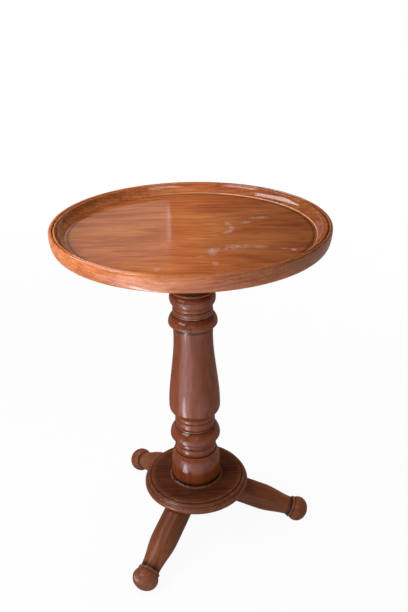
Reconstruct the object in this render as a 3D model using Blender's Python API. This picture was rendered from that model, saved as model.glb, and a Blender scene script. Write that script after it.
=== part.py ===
"""Tripod pedestal table: a dished round top on a turned column, with a base disc and three turned legs.

Units are metres and +Z is up. The origin is on the floor, under the middle of the column.
Radii and heights of turned pieces are read off along their own lathe axis.
"""

import math

import bmesh
import bpy

# Fit between touching pieces
FIT_GAP = 0.0003
MERGE_DISTANCE = FIT_GAP / 100

# Facets
TOP_SEGMENTS = 64
DISC_SEGMENTS = 40
COLUMN_SEGMENTS = 28
LEG_SEGMENTS = 18
SCREW_SEGMENTS = 8
CURVE_STEPS = 3
BEAD_STEPS = 2
EASE_STEPS = 6
BALL_STEPS = 9
SHARP_ANGLE = math.radians(32)

# Tabletop: a board with a sunk panel inside a moulded rim
TOP_RADIUS = 0.2448
PANEL_THICKNESS = 0.0118
DISH_DEPTH = 0.0175
RIM_ROLL_WIDTH = 0.0032
RIM_ROLL_HEIGHT = 0.0040
RIM_UNDERCUT_WIDTH = 0.0064
RIM_CROWN_WIDTH = 0.0030
RIM_GROOVE_WIDTH = 0.0013
RIM_GROOVE_DEPTH = 0.0038
RIM_BEAD_WIDTH = 0.0040
RIM_BEAD_HEIGHT = 0.0014
RIM_BEAD_DROP = 0.0016
COVE_WIDTH = 0.0143
COVE_TURN = math.radians(46)

# Bearer: the block that joins the top to the column
BEARER_RADIUS = 0.0850
BEARER_THICKNESS = 0.0240
BEARER_ROUND = 0.0120

# Column foot, which stands on the base disc
FOOT_TENON_RADIUS = 0.0320
FOOT_TENON_DROP = 0.0300
FOOT_RING_RADIUS = 0.0525
FOOT_RING_HEIGHT = 0.0022
FOOT_DRUM_RADIUS = 0.0500
FOOT_DRUM_HEIGHT = 0.0308
FOOT_SHOULDER_RADIUS = 0.0427
FOOT_SHOULDER_HEIGHT = 0.0330

# Column necks, each with two fine beads
NECK_BEAD_SWELL = 0.0018
FOOT_NECK_RADIUS = 0.0398
FOOT_NECK_LOWER_BEAD = 0.0166
FOOT_NECK_UPPER_BEAD = 0.0131
BELLY_NECK_RADIUS = 0.0383
BELLY_NECK_LOWER_BEAD = 0.0155
BELLY_NECK_UPPER_BEAD = 0.0112
CAP_NECK_RADIUS = 0.0362
CAP_NECK_LOWER_BEAD = 0.0098
CAP_NECK_UPPER_BEAD = 0.0100

# Column bulge, baluster, collar and cushion
BULGE_RADIUS = 0.0500
BULGE_LOWER_HEIGHT = 0.0070
BULGE_UPPER_HEIGHT = 0.0220
BULGE_FILLET_HEIGHT = 0.0033
BELLY_RADIUS = 0.0504
BELLY_LOWER_HEIGHT = 0.0172
BALUSTER_TAPER_HEIGHT = 0.1553
BALUSTER_NECK_RADIUS = 0.0374
BALUSTER_FLARE_HEIGHT = 0.0214
BALUSTER_FLARE = 0.0008
COLLAR_RADIUS = 0.0465
COLLAR_LOWER_HEIGHT = 0.0063
COLLAR_UPPER_HEIGHT = 0.0180
COLLAR_FILLET_HEIGHT = 0.0023
CUSHION_FILLET_RADIUS = 0.0408
CUSHION_FILLET_HEIGHT = 0.0013
CUSHION_RADIUS = 0.0433
CUSHION_LOWER_HEIGHT = 0.0097
CUSHION_UPPER_HEIGHT = 0.0113
CUSHION_TOP_RADIUS = 0.0377

# Column cap, under the bearer
CAP_RING_RADIUS = 0.0415
CAP_RING_HEIGHT = 0.0064
CAP_STEM_RADIUS = 0.0370
CAP_STEM_HEIGHT = 0.0130
CAP_FLARE_RADIUS = 0.0470
CAP_FLARE_HEIGHT = 0.0543
CAP_FILLET_RADIUS = 0.0490
CAP_FILLET_HEIGHT = 0.0060
TOP_TENON_RADIUS = 0.0190

# Wedges that spread the ends of the two tenons
WEDGE_DEPTH = 0.0180
WEDGE_THICK_END = 0.0036
WEDGE_THIN_END = 0.0012

# Base disc
DISC_RADIUS = 0.1068
DISC_THICKNESS = 0.0209
DISC_ROLL_WIDTH = 0.0058
DISC_ROLL_UPPER_HEIGHT = 0.0096
DISC_ROLL_LOWER_HEIGHT = 0.0040
DISC_BEAD_WIDTH = 0.0060
DISC_GROOVE_WIDTH = 0.0012
DISC_GROOVE_DEPTH = 0.0030
DISC_BEAD_HEIGHT = 0.0012

# Legs: each one is turned, and planed flat where it seats under the disc
LEG_HEADINGS = {
    "front_left": math.radians(-118.4),
    "right": math.radians(-2.4),
    "back_left": math.radians(127.1),
}
LEG_TILT = math.radians(23.8)
LEG_SPREAD = 0.2136
LEG_ROOT_RADIUS = 0.0260
LEG_SWELL_RADIUS = 0.0266
LEG_TAPER_LENGTH = 0.0650
LEG_NECK_RADIUS = 0.0188
LEG_RING_SWELL = 0.0032
LEG_RING_WIDTH = 0.0055
LEG_GROOVE_DEPTH = 0.0049
LEG_BALL_RADIUS = 0.0255
LEG_BALL_HALF_LENGTH = 0.0215
FOOT_FLAT_DEPTH = 0.0020

# Screws
SCREW_HEAD_RADIUS = 0.0044
SCREW_HEAD_HEIGHT = 0.0030
SCREW_SHANK_RADIUS = 0.0022
SCREW_POINT_LENGTH = 0.0035
BEARER_SCREW_COUNT = 4
BEARER_SCREW_INSET = 0.0260
BEARER_SCREW_SINK = 0.0060
BEARER_SCREW_COVER = 0.0048
LEG_SCREW_INSET = 0.0170
LEG_SCREW_GRIP_SHARE = 0.65
LEG_SCREW_COVER = 0.0059

# Finishes: colour, roughness, metallic
TOP_FINISH = ((0.36, 0.13, 0.05), 0.22, 0.0)
COLUMN_FINISH = ((0.24, 0.075, 0.035), 0.24, 0.0)
BASE_FINISH = ((0.15, 0.05, 0.022), 0.32, 0.0)
BEARER_FINISH = ((0.20, 0.08, 0.035), 0.55, 0.0)
WEDGE_FINISH = ((0.42, 0.25, 0.11), 0.60, 0.0)
SCREW_FINISH = ((0.52, 0.50, 0.46), 0.40, 1.0)


class Outline:
    """Half-section of a turned piece, as (radius, height) points."""

    def __init__(self, radius, height):
        self.points = [(radius, height)]

    def end_height(self):
        return self.points[-1][1]

    def line_to(self, radius, height):
        self.points.append((radius, height))

    def level_to(self, radius, height, steps=CURVE_STEPS):
        """Quarter curve that leaves level, square to the axis, and arrives upright."""
        start_radius, start_height = self.points[-1]
        for step in range(1, steps + 1):
            turn = math.pi / 2 * step / steps
            self.line_to(
                start_radius + (radius - start_radius) * math.sin(turn),
                start_height + (height - start_height) * (1 - math.cos(turn)),
            )

    def upright_to(self, radius, height, steps=CURVE_STEPS):
        """Quarter curve that leaves upright, along the axis, and arrives level."""
        start_radius, start_height = self.points[-1]
        for step in range(1, steps + 1):
            turn = math.pi / 2 * step / steps
            self.line_to(
                start_radius + (radius - start_radius) * (1 - math.cos(turn)),
                start_height + (height - start_height) * math.sin(turn),
            )

    def arc_to(self, radius, height):
        """Circular arc that leaves upright and ends at a slant."""
        self.points += arc_points(self.points[-1], (radius, height))[1:]

    def arc_up_to(self, radius, height):
        """Circular arc that leaves at a slant and arrives upright."""
        self.points += arc_points((radius, height), self.points[-1])[-2::-1]

    def ease_to(self, radius, height):
        """S-curve that leaves and arrives along the axis."""
        start_radius, start_height = self.points[-1]
        for step in range(1, EASE_STEPS + 1):
            share = step / EASE_STEPS
            eased = share * share * (3 - 2 * share)
            self.line_to(
                start_radius + (radius - start_radius) * eased,
                start_height + (height - start_height) * share,
            )

    def bow_to(self, radius, height, turn):
        """Circular arc that bends by a given turn, to the left if it is positive."""
        start_radius, start_height = self.points[-1]
        across = radius - start_radius
        along = height - start_height
        spread = 2 * math.sin(turn / 2)
        for step in range(1, CURVE_STEPS + 1):
            angle = turn * (step / CURVE_STEPS - 0.5)
            forward = 0.5 + math.sin(angle) / spread
            sideways = (math.cos(angle) - math.cos(turn / 2)) / spread
            self.line_to(
                start_radius + across * forward + along * sideways,
                start_height + along * forward - across * sideways,
            )


def arc_points(upright_end, slanted_end):
    """Points of a circular arc that is upright at its first end."""
    across = slanted_end[0] - upright_end[0]
    along = slanted_end[1] - upright_end[1]
    arc_radius = (across**2 + along**2) / (2 * abs(across))
    whole_turn = 2 * math.atan2(abs(across), abs(along))
    points = []
    for step in range(CURVE_STEPS + 1):
        turn = whole_turn * step / CURVE_STEPS
        points.append(
            (
                upright_end[0] + math.copysign(arc_radius * (1 - math.cos(turn)), across),
                upright_end[1] + math.copysign(arc_radius * math.sin(turn), along),
            )
        )
    return points


def finish_material(name, finish):
    colour, roughness, metallic = finish
    material = bpy.data.materials.new(name)
    material.use_nodes = True
    shader = material.node_tree.nodes["Principled BSDF"]
    shader.inputs["Base Color"].default_value = (*colour, 1.0)
    shader.inputs["Roughness"].default_value = roughness
    shader.inputs["Metallic"].default_value = metallic
    return material


def give_finish(piece, finish):
    piece.data.materials.append(finish_material(piece.name, finish))


def add_object(name, mesh):
    piece = bpy.data.objects.new(name, mesh)
    bpy.context.collection.objects.link(piece)
    return piece


def turned(name, outline, segments, has_hole=False):
    """Spins a half-section round Z. With a hole, its last point joins its first."""
    shape = bmesh.new()
    corners = [shape.verts.new((radius, 0.0, height)) for radius, height in outline.points]
    followers = corners[1:] + (corners[:1] if has_hole else [])
    edges = [shape.edges.new(pair) for pair in zip(corners, followers)]
    bmesh.ops.spin(
        shape,
        geom=corners + edges,
        axis=(0.0, 0.0, 1.0),
        cent=(0.0, 0.0, 0.0),
        steps=segments,
        angle=math.tau,
        use_merge=True,
    )
    bmesh.ops.remove_doubles(shape, verts=shape.verts[:], dist=MERGE_DISTANCE)
    bmesh.ops.recalc_face_normals(shape, faces=shape.faces[:])
    mesh = bpy.data.meshes.new(name)
    shape.to_mesh(mesh)
    shape.free()
    mesh.shade_smooth()
    mesh.set_sharp_from_angle(angle=SHARP_ANGLE)
    return add_object(name, mesh)


def as_cutter(piece):
    piece.hide_render = True
    piece.display_type = "WIRE"
    return piece


def cut(piece, cutter):
    boolean = piece.modifiers.new("Cut " + cutter.name, "BOOLEAN")
    boolean.operation = "DIFFERENCE"
    boolean.solver = "EXACT"
    boolean.object = cutter


def round_cutter(name, radius, bottom, top):
    outline = Outline(0.0, top)
    outline.line_to(radius, top)
    outline.line_to(radius, bottom)
    outline.line_to(0.0, bottom)
    return as_cutter(turned(name, outline, DISC_SEGMENTS))


# Places along a leg, from the ball's middle, and heights that follow from the legs
ball_along = LEG_SPREAD / math.cos(LEG_TILT)
groove_radius = LEG_BALL_RADIUS - LEG_GROOVE_DEPTH
groove_turn = math.asin(groove_radius / LEG_BALL_RADIUS)
groove_from_ball = LEG_BALL_HALF_LENGTH * math.cos(groove_turn)
neck_from_ball = groove_from_ball + LEG_RING_WIDTH
swell_from_ball = neck_from_ball + LEG_TAPER_LENGTH
ball_reach_down = math.hypot(
    LEG_BALL_RADIUS * math.cos(LEG_TILT),
    LEG_BALL_HALF_LENGTH * math.sin(LEG_TILT),
)
leg_axis_height = ball_reach_down - FOOT_FLAT_DEPTH + LEG_SPREAD * math.tan(LEG_TILT)
leg_width = max(LEG_ROOT_RADIUS, LEG_SWELL_RADIUS)

# The disc's underside sits where a leg's upper side comes level with the disc's rounded edge
disc_seat_radius = DISC_RADIUS - DISC_ROLL_WIDTH
disc_bottom = (
    leg_axis_height
    + LEG_ROOT_RADIUS / math.cos(LEG_TILT)
    - disc_seat_radius * math.tan(LEG_TILT)
)
disc_top = disc_bottom + DISC_THICKNESS
column_bottom = disc_top + FIT_GAP


def column_outline():
    """The column with height 0 at its foot, and the height of its top shoulder."""
    tenon_end = disc_bottom - FOOT_TENON_DROP - column_bottom
    outline = Outline(0.0, tenon_end)
    outline.line_to(FOOT_TENON_RADIUS, tenon_end)
    outline.line_to(FOOT_TENON_RADIUS, 0.0)
    add_foot(outline)
    add_neck(outline, FOOT_NECK_RADIUS, FOOT_NECK_LOWER_BEAD, FOOT_NECK_UPPER_BEAD)
    add_bulge(outline)
    add_neck(outline, BELLY_NECK_RADIUS, BELLY_NECK_LOWER_BEAD, BELLY_NECK_UPPER_BEAD)
    add_baluster(outline)
    add_collar(outline)
    add_neck(outline, CAP_NECK_RADIUS, CAP_NECK_LOWER_BEAD, CAP_NECK_UPPER_BEAD)
    add_cushion(outline)
    add_cap(outline)
    shoulder = outline.end_height()
    tenon_top = shoulder + FIT_GAP + BEARER_THICKNESS
    outline.line_to(TOP_TENON_RADIUS, shoulder)
    outline.line_to(TOP_TENON_RADIUS, tenon_top)
    outline.line_to(0.0, tenon_top)
    return outline, shoulder


def add_foot(outline):
    outline.line_to(FOOT_RING_RADIUS, 0.0)
    outline.upright_to(FOOT_DRUM_RADIUS, FOOT_RING_HEIGHT, BEAD_STEPS)
    outline.line_to(FOOT_DRUM_RADIUS, outline.end_height() + FOOT_DRUM_HEIGHT)
    outline.arc_to(FOOT_SHOULDER_RADIUS, outline.end_height() + FOOT_SHOULDER_HEIGHT)


def add_bead(outline, crown, foot, height):
    outline.level_to(crown, outline.end_height() + height / 2, BEAD_STEPS)
    outline.upright_to(foot, outline.end_height() + height / 2, BEAD_STEPS)


def add_neck(outline, radius, *bead_heights):
    outline.line_to(radius, outline.end_height())
    for height in bead_heights:
        add_bead(outline, radius + NECK_BEAD_SWELL, radius, height)


def add_bulge(outline):
    neck = BELLY_NECK_RADIUS + NECK_BEAD_SWELL
    outline.level_to(BULGE_RADIUS, outline.end_height() + BULGE_LOWER_HEIGHT)
    outline.arc_to(neck, outline.end_height() + BULGE_UPPER_HEIGHT)
    outline.line_to(neck, outline.end_height() + BULGE_FILLET_HEIGHT)


def add_baluster(outline):
    outline.arc_up_to(BELLY_RADIUS, outline.end_height() + BELLY_LOWER_HEIGHT)
    outline.ease_to(BALUSTER_NECK_RADIUS, outline.end_height() + BALUSTER_TAPER_HEIGHT)
    outline.line_to(
        BALUSTER_NECK_RADIUS + BALUSTER_FLARE,
        outline.end_height() + BALUSTER_FLARE_HEIGHT,
    )


def add_collar(outline):
    neck = CAP_NECK_RADIUS + NECK_BEAD_SWELL
    outline.level_to(COLLAR_RADIUS, outline.end_height() + COLLAR_LOWER_HEIGHT)
    outline.arc_to(neck, outline.end_height() + COLLAR_UPPER_HEIGHT)
    outline.line_to(neck, outline.end_height() + COLLAR_FILLET_HEIGHT)


def add_cushion(outline):
    outline.line_to(CUSHION_FILLET_RADIUS, outline.end_height())
    outline.line_to(CUSHION_FILLET_RADIUS, outline.end_height() + CUSHION_FILLET_HEIGHT)
    outline.level_to(CUSHION_RADIUS, outline.end_height() + CUSHION_LOWER_HEIGHT)
    outline.arc_to(CUSHION_TOP_RADIUS, outline.end_height() + CUSHION_UPPER_HEIGHT)


def add_cap(outline):
    """The ring, stem and flare that carry the bearer."""
    add_bead(outline, CAP_RING_RADIUS, CAP_STEM_RADIUS, CAP_RING_HEIGHT)
    outline.line_to(CAP_STEM_RADIUS, outline.end_height() + CAP_STEM_HEIGHT)
    outline.ease_to(CAP_FLARE_RADIUS, outline.end_height() + CAP_FLARE_HEIGHT)
    outline.line_to(CAP_FILLET_RADIUS, outline.end_height())
    outline.line_to(CAP_FILLET_RADIUS, outline.end_height() + CAP_FILLET_HEIGHT)


def make_column():
    """Returns the height of the bearer's underside, which rests on the column's shoulder."""
    outline, shoulder = column_outline()
    column = turned("column", outline, COLUMN_SEGMENTS)
    column.location.z = column_bottom
    bearer_bottom = column_bottom + shoulder + FIT_GAP
    add_wedge("column_top_wedge", column, TOP_TENON_RADIUS, bearer_bottom + BEARER_THICKNESS, 1)
    add_wedge("column_foot_wedge", column, FOOT_TENON_RADIUS, disc_bottom - FOOT_TENON_DROP, -1)
    give_finish(column, COLUMN_FINISH)
    return bearer_bottom


def wedge_block(name, length, outer_end, inner_end):
    """A block between two (height, thickness) ends."""
    shape = bmesh.new()
    for height, thickness in (outer_end, inner_end):
        for x_side in (-1, 1):
            for y_side in (-1, 1):
                shape.verts.new((x_side * length / 2, y_side * thickness / 2, height))
    bmesh.ops.convex_hull(shape, input=shape.verts[:])
    bmesh.ops.recalc_face_normals(shape, faces=shape.faces[:])
    mesh = bpy.data.meshes.new(name)
    shape.to_mesh(mesh)
    shape.free()
    return add_object(name, mesh)


def add_wedge(name, column, tenon_radius, end, outward):
    """A wedge in a saw kerf across a tenon's end. Outward is 1 if the tenon points up, and -1 if down."""
    facet_radius = tenon_radius * math.cos(math.pi / COLUMN_SEGMENTS)
    length = 2 * math.sqrt(facet_radius**2 - WEDGE_THICK_END**2) - 2 * FIT_GAP
    inner = end - outward * WEDGE_DEPTH
    wedge = wedge_block(name, length, (end, WEDGE_THICK_END), (inner, WEDGE_THIN_END))
    kerf = wedge_block(
        name + "_kerf",
        2 * (tenon_radius + FIT_GAP),
        (end + outward * FIT_GAP, WEDGE_THICK_END + 2 * FIT_GAP),
        (inner - outward * FIT_GAP, WEDGE_THIN_END + 2 * FIT_GAP),
    )
    cut(column, as_cutter(kerf))
    give_finish(wedge, WEDGE_FINISH)


def make_screw(name, place, head_seat, bite_end, hole_end, held_pieces):
    """An upright screw with its head below, and the stepped hole that it needs in the pieces it holds."""
    head_top = head_seat - FIT_GAP
    outline = Outline(0.0, bite_end)
    outline.line_to(SCREW_SHANK_RADIUS, bite_end - SCREW_POINT_LENGTH)
    outline.line_to(SCREW_SHANK_RADIUS, head_top)
    outline.line_to(SCREW_HEAD_RADIUS, head_top)
    outline.upright_to(0.0, head_top - SCREW_HEAD_HEIGHT)
    screw = turned(name, outline, SCREW_SEGMENTS)
    give_finish(screw, SCREW_FINISH)

    hole_outline = Outline(0.0, bite_end + FIT_GAP)
    hole_outline.line_to(SCREW_SHANK_RADIUS + FIT_GAP, bite_end + FIT_GAP)
    hole_outline.line_to(SCREW_SHANK_RADIUS + FIT_GAP, head_seat)
    hole_outline.line_to(SCREW_HEAD_RADIUS + FIT_GAP, head_seat)
    hole_outline.line_to(SCREW_HEAD_RADIUS + FIT_GAP, hole_end)
    hole_outline.line_to(0.0, hole_end)
    hole = as_cutter(turned(name + "_hole", hole_outline, SCREW_SEGMENTS))

    radius, heading = place
    for piece in (screw, hole):
        piece.location = (radius * math.cos(heading), radius * math.sin(heading), 0.0)
    for piece in held_pieces:
        cut(piece, hole)


def make_bearer(bottom):
    top = bottom + BEARER_THICKNESS
    hole = TOP_TENON_RADIUS + FIT_GAP
    outline = Outline(hole, top)
    outline.line_to(BEARER_RADIUS, top)
    outline.line_to(BEARER_RADIUS, bottom + BEARER_ROUND)
    outline.upright_to(BEARER_RADIUS - BEARER_ROUND, bottom)
    outline.line_to(hole, bottom)
    bearer = turned("top_bearer", outline, DISC_SEGMENTS, has_hole=True)
    give_finish(bearer, BEARER_FINISH)
    return bearer


def make_tabletop(bottom):
    panel = bottom + PANEL_THICKNESS
    crest = panel + DISH_DEPTH
    bead_top = crest - RIM_BEAD_DROP
    cove_top = bead_top - RIM_BEAD_HEIGHT
    groove_bottom = crest - RIM_GROOVE_DEPTH
    crown_radius = TOP_RADIUS - RIM_ROLL_WIDTH
    groove_edge = crown_radius - RIM_CROWN_WIDTH
    bead_radius = groove_edge - RIM_GROOVE_WIDTH
    cove_radius = bead_radius - RIM_BEAD_WIDTH

    outline = Outline(0.0, panel)
    outline.line_to(cove_radius - COVE_WIDTH, panel)
    outline.bow_to(cove_radius, cove_top, COVE_TURN)
    outline.upright_to(cove_radius + RIM_BEAD_WIDTH / 2, bead_top, BEAD_STEPS)
    outline.level_to(bead_radius, groove_bottom, BEAD_STEPS)
    outline.line_to(groove_edge, groove_bottom)
    outline.upright_to(crown_radius, crest, BEAD_STEPS)
    outline.level_to(TOP_RADIUS, crest - RIM_ROLL_HEIGHT)
    outline.upright_to(TOP_RADIUS - RIM_UNDERCUT_WIDTH, bottom)
    outline.line_to(0.0, bottom)
    tabletop = turned("tabletop", outline, TOP_SEGMENTS)
    give_finish(tabletop, TOP_FINISH)
    return tabletop


def make_base_disc():
    hole = FOOT_TENON_RADIUS + FIT_GAP
    bead_radius = disc_seat_radius - DISC_BEAD_WIDTH
    step_radius = bead_radius - DISC_GROOVE_WIDTH
    groove_bottom = disc_top - DISC_GROOVE_DEPTH
    bead_top = groove_bottom + DISC_BEAD_HEIGHT
    widest = disc_bottom + DISC_ROLL_LOWER_HEIGHT

    outline = Outline(hole, disc_top)
    outline.line_to(step_radius, disc_top)
    outline.line_to(step_radius + DISC_GROOVE_WIDTH / 2, groove_bottom)
    outline.line_to(bead_radius, groove_bottom)
    outline.upright_to(bead_radius + DISC_BEAD_WIDTH / 2, bead_top, BEAD_STEPS)
    outline.level_to(disc_seat_radius, widest + DISC_ROLL_UPPER_HEIGHT, BEAD_STEPS)
    outline.level_to(DISC_RADIUS, widest)
    outline.upright_to(disc_seat_radius, disc_bottom)
    outline.line_to(hole, disc_bottom)
    base_disc = turned("base_disc", outline, DISC_SEGMENTS, has_hole=True)
    give_finish(base_disc, BASE_FINISH)
    return base_disc


def leg_outline():
    """A leg from its inner end to the tip of its ball, with height 0 on the column's axis."""
    ball = -ball_along
    neck = ball + neck_from_ball
    outline = Outline(0.0, 0.0)
    outline.line_to(LEG_ROOT_RADIUS, 0.0)
    outline.line_to(LEG_SWELL_RADIUS, ball + swell_from_ball)
    outline.ease_to(LEG_NECK_RADIUS, neck)
    outline.level_to(LEG_NECK_RADIUS + LEG_RING_SWELL, neck - LEG_RING_WIDTH / 2, BEAD_STEPS)
    outline.upright_to(groove_radius, neck - LEG_RING_WIDTH, BEAD_STEPS)
    for step in range(1, BALL_STEPS + 1):
        turn = groove_turn + (math.pi - groove_turn) * step / BALL_STEPS
        outline.line_to(
            LEG_BALL_RADIUS * math.sin(turn),
            ball + LEG_BALL_HALF_LENGTH * math.cos(turn),
        )
    return outline


def least_half_angle():
    """Half of the smallest angle between two neighbouring legs."""
    headings = sorted(LEG_HEADINGS.values())
    turns = [after - before for before, after in zip(headings, headings[1:])]
    turns.append(headings[0] + math.tau - headings[-1])
    return min(turns) / 2


def leg_underside(radius):
    """Height of a leg's underside at a distance from the column's axis, near its inner end."""
    return leg_axis_height - radius * math.tan(LEG_TILT) - LEG_ROOT_RADIUS / math.cos(LEG_TILT)


def make_legs(base_disc):
    inner_radius = max(FOOT_TENON_RADIUS, leg_width / math.sin(least_half_angle())) + FIT_GAP
    above = leg_axis_height + 2 * leg_width
    below = -LEG_BALL_RADIUS
    hub = round_cutter("hub_space", inner_radius, below, above)
    seat = round_cutter("disc_space", DISC_RADIUS + FIT_GAP, disc_bottom - FIT_GAP, above)
    floor = round_cutter("floor_space", LEG_SPREAD + 2 * LEG_BALL_RADIUS, below, 0.0)
    inner_screw_radius = inner_radius + LEG_SCREW_INSET
    wood_under_disc = disc_bottom - leg_underside(inner_screw_radius)
    head_seat = disc_bottom - LEG_SCREW_GRIP_SHARE * wood_under_disc
    screw_radii = {
        "inner": inner_screw_radius,
        "outer": disc_seat_radius - LEG_SCREW_INSET,
    }
    for side, heading in LEG_HEADINGS.items():
        leg = turned("leg_" + side, leg_outline(), LEG_SEGMENTS)
        leg.location.z = leg_axis_height
        leg.rotation_euler = (0.0, LEG_TILT - math.pi / 2, heading)
        give_finish(leg, BASE_FINISH)
        for cutter in (hub, seat, floor):
            cut(leg, cutter)
        for place, radius in screw_radii.items():
            make_screw(
                f"leg_screw_{side}_{place}",
                (radius, heading),
                head_seat,
                disc_top - LEG_SCREW_COVER,
                below,
                (leg, base_disc),
            )


def make_bearer_screws(bearer, tabletop, bearer_bottom, tabletop_bottom):
    circle_radius = BEARER_RADIUS - BEARER_SCREW_INSET
    for number in range(BEARER_SCREW_COUNT):
        make_screw(
            f"bearer_screw_{number + 1}",
            (circle_radius, math.tau * (number + 0.5) / BEARER_SCREW_COUNT),
            bearer_bottom + BEARER_SCREW_SINK,
            tabletop_bottom + PANEL_THICKNESS - BEARER_SCREW_COVER,
            bearer_bottom - SCREW_HEAD_HEIGHT,
            (bearer, tabletop),
        )


def clear_scene():
    for old in list(bpy.data.objects):
        bpy.data.objects.remove(old, do_unlink=True)


def main():
    clear_scene()
    base_disc = make_base_disc()
    make_legs(base_disc)
    bearer_bottom = make_column()
    tabletop_bottom = bearer_bottom + BEARER_THICKNESS + FIT_GAP
    bearer = make_bearer(bearer_bottom)
    tabletop = make_tabletop(tabletop_bottom)
    make_bearer_screws(bearer, tabletop, bearer_bottom, tabletop_bottom)


main()
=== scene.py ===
"""Looks of the tripod pedestal table: finely turned pieces in polished mahogany, in a white studio.

Units are metres and +Z is up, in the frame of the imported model.
"""

import math
from dataclasses import dataclass

import bmesh
import bpy
from mathutils import Euler, Matrix, Vector


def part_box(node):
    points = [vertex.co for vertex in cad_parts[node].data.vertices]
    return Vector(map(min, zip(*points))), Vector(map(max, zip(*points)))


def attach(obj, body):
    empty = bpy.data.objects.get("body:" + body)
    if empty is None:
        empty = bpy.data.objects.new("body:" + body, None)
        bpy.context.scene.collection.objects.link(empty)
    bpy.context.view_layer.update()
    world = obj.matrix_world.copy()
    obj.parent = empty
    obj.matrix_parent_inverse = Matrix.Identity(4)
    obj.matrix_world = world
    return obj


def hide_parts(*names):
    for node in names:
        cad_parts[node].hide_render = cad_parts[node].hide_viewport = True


# Fit between touching pieces
FIT_GAP = 0.0003

# Fineness of the turned pieces
PROFILE_STEP = 0.00025
LEAST_STEP = PROFILE_STEP / 10
MERGE_DISTANCE = 0.0000005
EDGE_SOFTENING_PASSES = 4
BROAD_SMOOTHING_PASSES = 110
MOST_TURN_PER_FACE = math.radians(7)
LONGEST_FACE = 0.012
CURVE_STEPS = 24
QUARTER_TURNS = [math.pi / 2 * step / CURVE_STEPS for step in range(1, CURVE_STEPS + 1)]
EASE_STEPS = 48
EASE_SHARES = [step / EASE_STEPS for step in range(1, EASE_STEPS + 1)]
TOP_SEGMENTS = 224
DISC_SEGMENTS = 144
COLUMN_SEGMENTS = 96
LEG_SEGMENTS = 64
SCREW_SEGMENTS = 24
SHARP_ANGLE = math.radians(38)
MILLIMETRES_PER_METRE = 1000.0

# Tabletop: a board with a sunk panel inside a moulded rim
TOP_RADIUS = 0.2448
PANEL_THICKNESS = 0.0118
DISH_DEPTH = 0.0175
RIM_ROLL_WIDTH = 0.0032
RIM_ROLL_HEIGHT = 0.0040
RIM_UNDERCUT_WIDTH = 0.0064
RIM_CROWN_WIDTH = 0.0030
RIM_GROOVE_WIDTH = 0.0013
RIM_GROOVE_DEPTH = 0.0038
RIM_BEAD_WIDTH = 0.0040
RIM_BEAD_HEIGHT = 0.0014
RIM_BEAD_DROP = 0.0016
COVE_WIDTH = 0.0143
COVE_TURN = math.radians(46)
PANEL_STEP_WIDTH = 0.0005
PANEL_STEP_HEIGHT = 0.0014

# Bearer under the top
BEARER_RADIUS = 0.0850
BEARER_ROUND = 0.0120

# Column foot, which stands on the base disc
FOOT_TENON_RADIUS = 0.0320
FOOT_RING_RADIUS = 0.0525
FOOT_RING_HEIGHT = 0.0022
FOOT_DRUM_RADIUS = 0.0500
FOOT_DRUM_HEIGHT = 0.0308
FOOT_SHOULDER_RADIUS = 0.0427
FOOT_SHOULDER_HEIGHT = 0.0330

# Column necks, each with two fine beads
NECK_BEAD_SWELL = 0.0018
FOOT_NECK_RADIUS = 0.0398
FOOT_NECK_BEADS = (0.0166, 0.0131)
BELLY_NECK_RADIUS = 0.0383
BELLY_NECK_BEADS = (0.0155, 0.0112)
CAP_NECK_RADIUS = 0.0362
CAP_NECK_BEADS = (0.0098, 0.0100)

# Column bulge, baluster, collar and cushion
# Three heights: a lower part, an upper part and a fillet
BULGE_RADIUS = 0.0500
BULGE_HEIGHTS = (0.0070, 0.0220, 0.0033)
BELLY_RADIUS = 0.0504
BELLY_LOWER_HEIGHT = 0.0172
BALUSTER_TAPER_HEIGHT = 0.1553
BALUSTER_NECK_RADIUS = 0.0374
BALUSTER_FLARE_HEIGHT = 0.0214
BALUSTER_FLARE = 0.0008
COLLAR_RADIUS = 0.0465
COLLAR_HEIGHTS = (0.0063, 0.0180, 0.0023)
CUSHION_FILLET_RADIUS = 0.0408
CUSHION_FILLET_HEIGHT = 0.0013
CUSHION_RADIUS = 0.0433
CUSHION_LOWER_HEIGHT = 0.0097
CUSHION_UPPER_HEIGHT = 0.0113
CUSHION_TOP_RADIUS = 0.0377

# Column cap, under the bearer
CAP_RING_RADIUS = 0.0415
CAP_RING_HEIGHT = 0.0064
CAP_STEM_RADIUS = 0.0370
CAP_STEM_HEIGHT = 0.0130
CAP_FLARE_RADIUS = 0.0470
CAP_FLARE_HEIGHT = 0.0543
CAP_FILLET_RADIUS = 0.0490
CAP_FILLET_HEIGHT = 0.0060
TOP_TENON_RADIUS = 0.0190

# Wedges that spread the ends of the two tenons
WEDGE_DEPTH = 0.0180
WEDGE_THICK_END = 0.0036
WEDGE_THIN_END = 0.0012

# Base disc
DISC_RADIUS = 0.1068
DISC_ROLL_WIDTH = 0.0058
DISC_ROLL_UPPER_HEIGHT = 0.0096
DISC_ROLL_LOWER_HEIGHT = 0.0040
DISC_BEAD_WIDTH = 0.0060
DISC_GROOVE_WIDTH = 0.0012
DISC_GROOVE_DEPTH = 0.0030
DISC_BEAD_HEIGHT = 0.0012

# Legs: each one is turned, and planed flat where it seats under the disc
LEG_HEADINGS = {
    "front_left": math.radians(-118.4),
    "right": math.radians(-2.4),
    "back_left": math.radians(127.1),
}
LEG_TILT = math.radians(23.8)
LEG_SPREAD = 0.2136
LEG_ROOT_RADIUS = 0.0260
LEG_SWELL_RADIUS = 0.0266
LEG_TAPER_LENGTH = 0.0650
LEG_NECK_RADIUS = 0.0188
LEG_RING_SWELL = 0.0032
LEG_RING_WIDTH = 0.0055
LEG_GROOVE_DEPTH = 0.0049
LEG_BALL_RADIUS = 0.0255
LEG_BALL_HALF_LENGTH = 0.0215
FOOT_FLAT_DEPTH = 0.0020

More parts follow.
